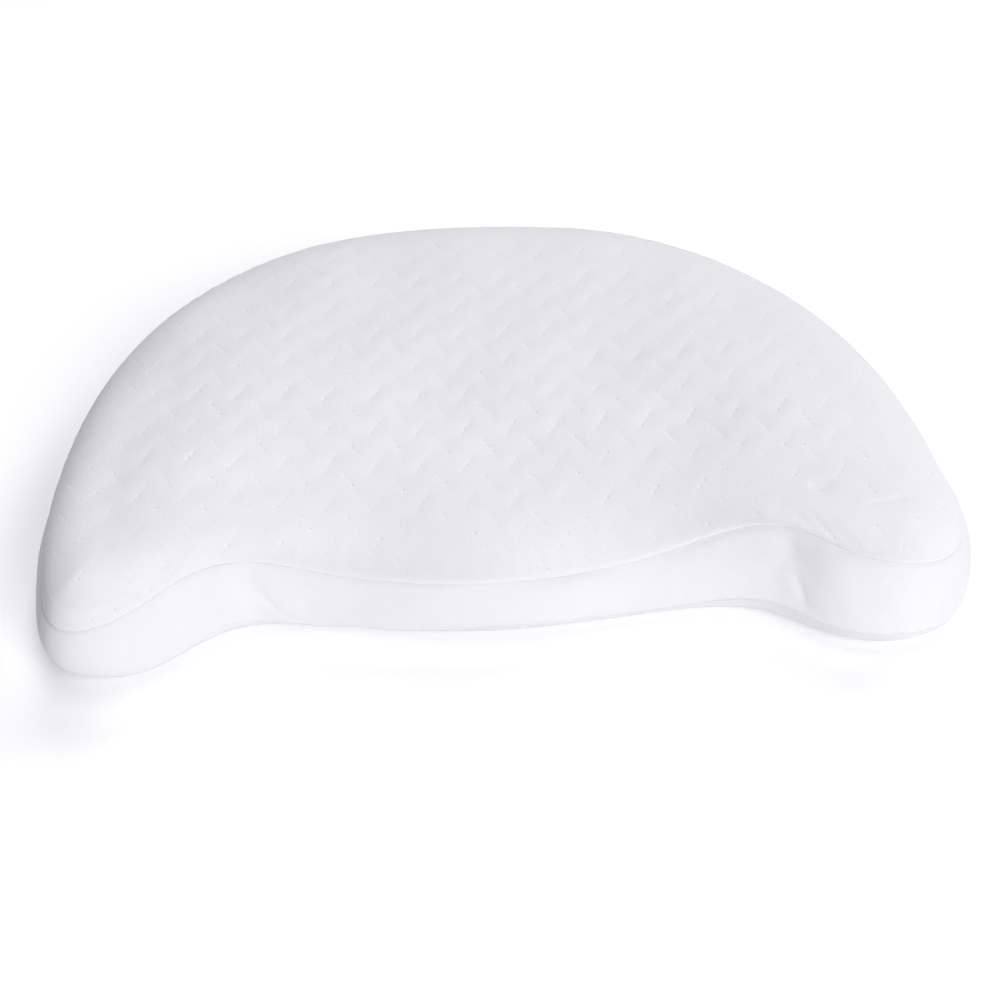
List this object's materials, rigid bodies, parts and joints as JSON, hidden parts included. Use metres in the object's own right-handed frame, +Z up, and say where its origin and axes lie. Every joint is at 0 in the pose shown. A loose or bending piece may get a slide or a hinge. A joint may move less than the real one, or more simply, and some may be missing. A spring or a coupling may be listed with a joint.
{
  "type": "infant positioning pillow",
  "caption": "Half-moon infant positioning pillow: foam filled, quilted knit top panel, plain side band and base, with a recess between its two front lobes.",
  "frame": {"origin": "on the flat base, under the middle of the pillow's outline", "axes": "+X along the pillow's width towards its right lobe, +Y towards the rounded back edge, +Z up; the shoulder recess faces -Y"},
  "size_m": [0.3622, 0.2389, 0.0535],
  "materials": {
    "knit_cover": "matte white quilted jersey knit"
  },
  "bodies": {
    "root": {"pillow": "knit_cover"}
  },
  "joints": []
}
